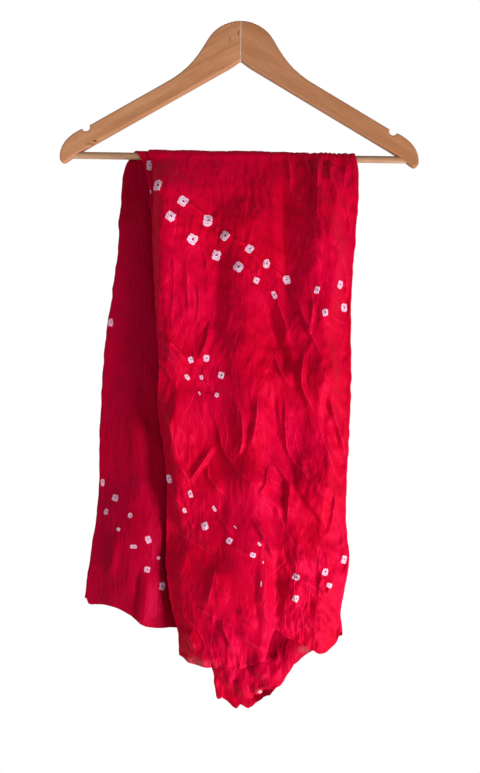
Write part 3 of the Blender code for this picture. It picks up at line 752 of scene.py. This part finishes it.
def hanging_rows(layer, share, reach, front):
    """A layer's x, depth and drop on one side: across its width by share, down to its hem by reach."""
    edges, hems = (FRONT_EDGES, FRONT_HEMS) if front else (BACK_EDGES, BACK_HEMS)
    drop = reach[:, None] * hem_drop(layer, hems, share)[None, :]
    left, right = edges_of(layer, edges, drop)
    x = left + share[None, :] * (right - left)
    y = -front_depth(layer, x, drop, left, right) if front else back_depth(layer, x, drop)
    return np.stack([x, y, BAR_Z - drop, drop], axis=-1)


def bar_rows(layer, share):
    """A layer's points over the bar: half a turn from front to back, its edges moving along it. The last
    column goes on from the drop of 0: it is minus the way round the bar."""
    turn = np.linspace(0.0, math.pi, BAR_ROWS + 2)[1:-1, None]
    front_left, front_right = edges_of(layer, FRONT_EDGES, 0.0)
    back_left, back_right = edges_of(layer, BACK_EDGES, 0.0)
    left = front_left + turn / math.pi * (back_left - front_left)
    right = front_right + turn / math.pi * (back_right - front_right)
    x = left + share[None, :] * (right - left)
    radius = bar_radius_of(layer, x)
    way = -radius * np.minimum(turn, math.pi - turn)
    return np.stack([x, -radius * np.cos(turn), BAR_Z + radius * np.sin(turn), way], axis=-1)


def crowded(count, crowding):
    """Steps from 0 to 1 that start closer together: a line mixed with its own square."""
    even = np.linspace(0.0, 1.0, count)
    return even * (1 - crowding + crowding * even)


def layer_grid(layer):
    """A layer's points from its front hem, over the bar, to its back hem."""
    share = crowded(COLUMNS[layer], CROWDING[layer])
    front = hanging_rows(layer, share, crowded(FRONT_ROWS, FRONT_ROW_CROWDING)[::-1], True)
    back = hanging_rows(layer, share, crowded(BACK_ROWS, BACK_ROW_CROWDING), False)
    return np.concatenate([front, bar_rows(layer, share), back], axis=0)


def turned_edge(first, second, outward):
    """Columns of a fold between two layers' edges: half circles on the gap between them."""
    middle = (first + second) / 2
    half = (first - second) / 2
    radius = np.linalg.norm(half[:, :3], axis=-1, keepdims=True)
    angles = np.linspace(0.0, math.pi, FOLD_COLUMNS + 2)[1:-1]
    sideways = np.array([outward, 0.0, 0.0, 0.0])
    return np.stack([middle + half * math.cos(a) + sideways * radius * math.sin(a) for a in angles], 1)


def cloth_grid():
    """The whole sheet as one grid, outer layer, right fold, middle layer, left fold, inner layer, and the
    layer that each column belongs to."""
    outer = layer_grid("outer")
    middle = layer_grid("middle")[:, ::-1]
    inner = layer_grid("inner")
    right_fold = turned_edge(outer[:, -1], middle[:, 0], 1.0)
    left_fold = turned_edge(middle[:, -1], inner[:, 0], -1.0)
    grid = np.concatenate([outer, right_fold, middle, left_fold, inner], axis=1)
    half = FOLD_COLUMNS // 2
    rest = FOLD_COLUMNS - half
    owners = ["outer"] * (COLUMNS["outer"] + half) + ["middle"] * (rest + COLUMNS["middle"])
    owners += ["inner"] * (FOLD_COLUMNS + COLUMNS["inner"])
    return grid, np.array(owners)


def tie_map(centres, corners, owners, fronts):
    """For each face, its corners' places in the frame of the nearest dot on its layer and side. A face far
    from every dot is put well outside the rim."""
    found = np.full(corners.shape, OUTSIDE)
    nearest = np.full(len(centres), 6.0)
    for (layer, side), dots in DOTS.items():
        belongs = (owners == layer) & (fronts == (side == "front"))
        for dot in dots:
            r = np.where(belongs, np.hypot(*dot_offsets(centres[:, 0], centres[:, 1], dot)), np.inf)
            closer = r < nearest
            nearest = np.where(closer, r, nearest)
            u, v = dot_offsets(corners[..., 0], corners[..., 1], dot)
            found = np.where(closer[:, None, None], np.stack([u, v], axis=-1), found)
    return found


def finish_values(points, owners, rows):
    """What the finish reads at each point: how much of the reverse side shows, which the finish darkens
    further as painted shade, how crinkled and how thin the cloth is, thin places being paled by painted
    light from behind, and the nearest thin line, which only the outer layer's front has."""
    owner = np.tile(owners, rows)
    row = np.repeat(np.arange(rows), len(owners))
    in_front, behind = row < FRONT_ROWS, row >= FRONT_ROWS + BAR_ROWS
    x, drop = points[:, 0], points[:, 3]
    sheer_painted_light = (in_front & (owner == "outer")) * zone_sum(x, drop, OUTER_SHEER)
    sheer_painted_light += (in_front & (owner == "middle")) * zone_sum(x, drop, MIDDLE_SHEER)
    offset, height = line_map(x, drop, pressed_lines())
    return {
        "reverse_side_and_painted_shade": np.where(behind & (owner == "inner"), 1.0, np.where(owner == "middle", 0.25, 0.0)),
        "crinkle": np.where(owner == "outer", crinkle_strength(x, drop), 0.8),
        "sheer_painted_light": smoothstep(sheer_painted_light * 1.3),
        "line_offset": offset,
        "line_height": height * (in_front & (owner == "outer")),
    }


def make_cloth(finish):
    """The sheet: its grid as one open mesh, with the dots' map and what the finish reads at each point."""
    grid, owners = cloth_grid()
    rows, columns = grid.shape[:2]
    points = grid.reshape(-1, 4)
    index = np.arange(rows * columns).reshape(rows, columns)
    quads = np.stack([index[:-1, :-1], index[:-1, 1:], index[1:, 1:], index[1:, :-1]], -1).reshape(-1, 4)
    mesh = bpy.data.meshes.new("bandhani_cloth")
    mesh.from_pydata((points[:, :3] * MM).tolist(), [], quads.tolist())
    mesh.shade_smooth()
    mesh.materials.append(finish)

    row_of, column_of = np.divmod(quads[:, 0], columns)
    fronts = row_of < FRONT_ROWS + BAR_ROWS // 2
    chart = points[:, [0, 3]]
    uv = tie_map(chart[quads].mean(axis=1), chart[quads], owners[column_of], fronts)
    layer = mesh.uv_layers.new(name="tie_uv")
    layer.data.foreach_set("uv", uv.reshape(-1).astype(np.float32))

    for name, values in finish_values(points, owners, rows).items():
        attribute = mesh.attributes.new(name, "FLOAT", "POINT")
        attribute.data.foreach_set("value", values.astype(np.float32))
    cloth = bpy.data.objects.new("bandhani_cloth", mesh)
    bpy.context.scene.collection.objects.link(cloth)
    return cloth


class Finish:
    """A node material under way: short calls that add a node and give back its output."""

    def __init__(self, name):
        self.material = bpy.data.materials.new(name)
        self.material.use_nodes = True
        self.tree = self.material.node_tree
        self.shader = self.tree.nodes["Principled BSDF"]

    def node(self, kind, inputs, output=0, **settings):
        """A node with its settings, its inputs set or linked, and one of its outputs."""
        made = self.tree.nodes.new(kind)
        for name, value in settings.items():
            setattr(made, name, value)
        for name, value in inputs.items():
            self.feed(made.inputs[name], value)
        return made.outputs[output]

    def feed(self, socket, value):
        """Links an output to a socket, or sets the socket's own value."""
        if isinstance(value, bpy.types.NodeSocket):
            self.tree.links.new(value, socket)
        else:
            socket.default_value = value

    def set(self, **values):
        """Sets or links the shader's sockets, whose names have _ for a space."""
        for name, value in values.items():
            self.feed(self.shader.inputs[name.replace("_", " ")], value)

    def maths(self, operation, a, b=0.0, clamp=False):
        """One operation on one or two values, kept between 0 and 1 where asked."""
        return self.node("ShaderNodeMath", {0: a, 1: b}, operation=operation, use_clamp=clamp)

    def ramp(self, value, low, high, to_low=0.0, to_high=1.0):
        """A smooth step from one value to another."""
        inputs = {"Value": value, "From Min": low, "From Max": high, "To Min": to_low, "To Max": to_high}
        return self.node("ShaderNodeMapRange", inputs, interpolation_type="SMOOTHSTEP")

    def mix(self, factor, a, b):
        """Two colours mixed."""
        inputs = {0: factor, 6: a, 7: b}
        return self.node("ShaderNodeMix", inputs, output=2, data_type="RGBA")

    def noise(self, vector, scale, detail=2.0, roughness=0.5):
        """Soft noise, about 0.5 on average."""
        inputs = {"Vector": vector, "Scale": scale, "Detail": detail, "Roughness": roughness}
        return self.node("ShaderNodeTexNoise", inputs)

    def ridged(self, vector, scale, detail, distortion):
        """Ridged noise, which has sharp crests like creases."""
        inputs = {"Vector": vector, "Scale": scale, "Detail": detail, "Distortion": distortion}
        return self.node("ShaderNodeTexNoise", inputs, noise_type="RIDGED_MULTIFRACTAL")

    def mapped(self, vector, location=(0, 0, 0), rotation=(0, 0, 0), scale=(1, 1, 1)):
        """A place moved, turned and scaled, which shifts, leans or draws out a pattern read at it."""
        inputs = {"Vector": vector, "Location": location, "Rotation": rotation, "Scale": scale}
        return self.node("ShaderNodeMapping", inputs)

    def place(self):
        """Object coordinates: metres in the frame."""
        return self.node("ShaderNodeTexCoord", {}, output="Object")

    def attribute(self, name):
        """One of the values that the mesh carries at its points."""
        return self.node("ShaderNodeAttribute", {}, output="Fac", attribute_name=name)

    def bump(self, height, distance, strength=1.0, normal=None):
        """A normal tilted by a height, on top of another normal where one is given."""
        inputs = {"Height": height, "Distance": distance, "Strength": strength}
        if normal is not None:
            inputs["Normal"] = normal
        return self.node("ShaderNodeBump", inputs, output="Normal")


def dyed_cloth_finish():
    """Crimson crepe with undyed dots: each is a rounded square, 1 at its rim in its own map, with a broken
    lilac ring, a dark spot where the thread was tied, and a rim that noise makes uneven. The crepe has its
    thin lines, two sets of leaning ridged creases and a fine grain as bump, one on top of the other. The
    thin lines' crests carry a painted highlight, the reverse side is darkened by painted shade, and thin
    places are paled by painted light from behind."""
    made = Finish("dyed_cloth_crepe")
    place = made.place()
    tie = made.node("ShaderNodeUVMap", {}, uv_map="tie_uv")
    split = made.tree.nodes.new("ShaderNodeSeparateXYZ")
    made.feed(split.inputs[0], tie)
    u = made.maths("ABSOLUTE", split.outputs[0])
    v = made.maths("ABSOLUTE", split.outputs[1])
    across, down = made.maths("POWER", u, DOT_SQUARENESS), made.maths("POWER", v, DOT_SQUARENESS)
    square = made.maths("POWER", made.maths("ADD", across, down), 1 / DOT_SQUARENESS)
    uneven = made.noise(place, 420.0, 2.0, 0.6)
    rim = made.maths("ADD", square, made.maths("MULTIPLY", made.maths("SUBTRACT", uneven, 0.5), 0.75))
    undyed = made.ramp(rim, 1.04, 0.88)
    ring = made.maths("ABSOLUTE", made.maths("SUBTRACT", rim, 0.62))
    ring = made.ramp(ring, 0.14, 0.05)
    broken = made.ramp(made.noise(place, 560.0, 1.0), 0.40, 0.50)
    ring = made.maths("MULTIPLY", made.maths("MULTIPLY", ring, broken), 0.8)
    off_centre = made.mapped(tie, location=(-0.08, 0.06, 0.0))
    spot = made.node("ShaderNodeVectorMath", {0: off_centre}, output="Value", operation="LENGTH")
    spot = made.maths("ADD", spot, made.maths("MULTIPLY", made.maths("SUBTRACT", uneven, 0.5), 0.9))
    spot = made.ramp(spot, 0.34, 0.2)

    broad = made.noise(place, 9.0, 2.0)
    fine = made.noise(made.mapped(place, scale=(1.0, 1.0, 0.3)), 160.0, 3.0, 0.6)
    dye = made.mix(made.ramp(broad, 0.35, 0.65), (0.46, 0.0005, 0.013, 1), (0.49, 0.0006, 0.024, 1))
    dye = made.mix(made.ramp(fine, 0.3, 0.75, 0.0, 0.35), dye, (0.36, 0.0004, 0.016, 1))
    # Painted shade: the reverse side's dye is darkened, by half on the back's inner layer and by an eighth
    # on the middle layer, which stands for the shade there as well as for a duller reverse
    reverse_side_shade = made.attribute("reverse_side_and_painted_shade")
    dye = made.mix(made.maths("MULTIPLY", reverse_side_shade, 0.5), dye, (0.20, 0.0005, 0.011, 1))
    away = made.maths("ABSOLUTE", made.attribute("line_offset"))
    crest = made.maths("SUBTRACT", 1.0, away, clamp=True)
    # Painted highlight: the crests of the thin lines and of the creases are coloured a light pink-red
    painted_crest_highlight = made.maths("MULTIPLY", crest, made.attribute("line_height"), clamp=True)
    dye = made.mix(made.maths("MULTIPLY", painted_crest_highlight, 0.7), dye, (0.85, 0.006, 0.06, 1))
    pale = made.mix(ring, (0.74, 0.50, 0.61, 1), (0.24, 0.15, 0.28, 1))
    pale = made.mix(spot, pale, (0.30, 0.008, 0.08, 1))
    # Painted shade on the dots of the reverse side as well
    pale = made.mix(made.maths("MULTIPLY", reverse_side_shade, 0.35), pale, (0.42, 0.12, 0.22, 1))
    # Painted light from behind: thin places are paled towards a pinkish white
    sheer_painted_light = made.maths("MULTIPLY", made.attribute("sheer_painted_light"), 0.25)
    colour = made.mix(undyed, made.mix(sheer_painted_light, dye, (0.62, 0.16, 0.20, 1)), pale)

    crepe = made.noise(place, 1100.0, 2.0, 0.6)
    leaning_left = made.mapped(place, rotation=(0, 0.30, 0), scale=(1.0, 1.0, 0.34))
    folds = made.ridged(leaning_left, 95.0, 4.0, 0.8)
    leaning_right = made.mapped(place, rotation=(0, -0.35, 0), scale=(1.0, 1.0, 0.3))
    streaks = made.ridged(leaning_right, 210.0, 3.0, 0.5)
    strength = made.ramp(made.attribute("crinkle"), 0.0, 2.0, 0.3, 1.0)
    lines = made.maths("MULTIPLY", made.maths("POWER", crest, 1.4), made.attribute("line_height"))
    normal = made.bump(lines, 0.0009)
    normal = made.bump(folds, 0.0026, strength, normal)
    normal = made.bump(streaks, 0.0016, strength, normal)
    normal = made.bump(crepe, 0.00025, 0.6, normal)
    made.set(Base_Color=colour, Normal=normal, Roughness=0.5, Sheen_Weight=0.15)
    made.set(Sheen_Roughness=0.45, Sheen_Tint=(1.0, 0.01, 0.2, 1.0), Specular_IOR_Level=0.25)
    made.set(Specular_Tint=(1.0, 0.006, 0.26, 1.0))
    return made.material


def wood_finish(name, along, light, dark, stains):
    """Lacquered wood: soft bands, fine fibres and pores of noise, long along the grain, which runs at an
    angle from X in the XZ plane. Each stain is an oval with a rim that the fibres make uneven."""
    made = Finish(name)
    place = made.place()
    turned = made.mapped(place, rotation=(0, along, 0))
    bands = made.noise(made.mapped(turned, scale=(0.12, 1.0, 1.0)), 70.0, 3.0, 0.55)
    fibres = made.noise(made.mapped(turned, scale=(0.03, 1.0, 1.0)), 900.0, 3.0, 0.6)
    pores = made.noise(made.mapped(turned, scale=(0.09, 1.0, 1.0)), 1500.0, 1.0)
    colour = made.mix(made.ramp(bands, 0.3, 0.7), light, dark)
    darker = tuple(0.6 * part for part in dark[:3]) + (1,)
    colour = made.mix(made.ramp(fibres, 0.35, 0.8, 0.0, 0.45), colour, darker)
    colour = made.mix(made.ramp(pores, 0.66, 0.74, 0.0, 0.35), colour, (0.10, 0.04, 0.02, 1))
    for middle, half, strength in stains:
        shift = tuple(-m / h for m, h in zip(middle, half))
        offset = made.mapped(place, location=shift, scale=tuple(1 / h for h in half))
        away = made.node("ShaderNodeVectorMath", {0: offset}, output="Value", operation="LENGTH")
        away = made.maths("ADD", away, made.maths("MULTIPLY", fibres, 0.5))
        colour = made.mix(made.ramp(away, 1.45, 0.5, 0.0, strength), colour, (0.06, 0.015, 0.01, 1))
    made.set(Base_Color=colour, Roughness=0.42, Specular_IOR_Level=0.35)
    made.set(Normal=made.bump(fibres, 0.0002, 0.5))
    return made.material


def floor_finish():
    """Plain matt white, with a little light of its own."""
    made = Finish("studio_white")
    made.set(Base_Color=(0.9, 0.9, 0.9, 1), Roughness=0.9)
    made.set(Emission_Color=(1, 1, 1, 1), Emission_Strength=0.35)
    return made.material


def add_floor():
    """A plain white floor well below the cloth."""
    corners = np.array([(-1, -1), (1, -1), (1, 1), (-1, 1)]) * FLOOR_HALF_SIDE
    mesh = bpy.data.meshes.new("studio_floor")
    mesh.from_pydata([(x, y, FLOOR_Z) for x, y in corners.tolist()], [], [(0, 1, 2, 3)])
    mesh.materials.append(floor_finish())
    floor = bpy.data.objects.new("studio_floor", mesh)
    bpy.context.scene.collection.objects.link(floor)


def add_world(seen, lighting):
    """White surroundings: how bright they look, and how much light they give."""
    world = bpy.data.worlds.new("studio_surroundings")
    world.use_nodes = True
    tree = world.node_tree
    background = tree.nodes["Background"]
    background.inputs["Color"].default_value = (1, 1, 1, 1)
    path = tree.nodes.new("ShaderNodeLightPath")
    strength = tree.nodes.new("ShaderNodeMapRange")
    strength.inputs["To Min"].default_value = lighting
    strength.inputs["To Max"].default_value = seen
    tree.links.new(path.outputs["Is Camera Ray"], strength.inputs["Value"])
    tree.links.new(strength.outputs[0], background.inputs["Strength"])
    bpy.context.scene.world = world


def add_light(name, place, size, power):
    """A soft square light at a place, turned towards the cloth's middle."""
    light = bpy.data.lights.new(name, "AREA")
    light.size = size
    light.energy = power
    lamp = bpy.data.objects.new(name, light)
    aim = np.array(LIT_PLACE) - np.array(place)
    lamp.location = place
    heading = math.atan2(aim[0], -aim[1])
    pitch = math.atan2(math.hypot(aim[0], aim[1]), -aim[2])
    lamp.rotation_euler = (pitch, 0.0, heading + math.pi)
    bpy.context.scene.collection.objects.link(lamp)


def add_camera():
    """The photo's level view, its lens set so that the frame is as high as the photo's at the hanger."""
    data = bpy.data.cameras.new("photo_view")
    data.sensor_width = SENSOR
    data.lens = SENSOR * CAMERA_DISTANCE / FRAME_HEIGHT_AT_HANGER
    camera = bpy.data.objects.new("photo_view", data)
    camera.location = (CAMERA_X, -CAMERA_DISTANCE, CAMERA_Z)
    camera.rotation_euler = (math.radians(90.0), -CAMERA_ROLL, 0.0)
    bpy.context.scene.collection.objects.link(camera)
    bpy.context.scene.camera = camera


def finish_hanger():
    """Lacquered wood on the two arms and the bar, its grain along each."""
    for node, wood in WOODS.items():
        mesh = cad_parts[node].data
        mesh.materials.clear()
        mesh.materials.append(wood_finish(*wood))


add_camera()
add_world(seen=1.0, lighting=0.30)
for light in LIGHTS:
    add_light(*light)
add_floor()
bpy.context.scene.view_settings.view_transform = "Standard"
finish_hanger()
cloth = make_cloth(dyed_cloth_finish())
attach(cloth, "root")
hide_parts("cloth")
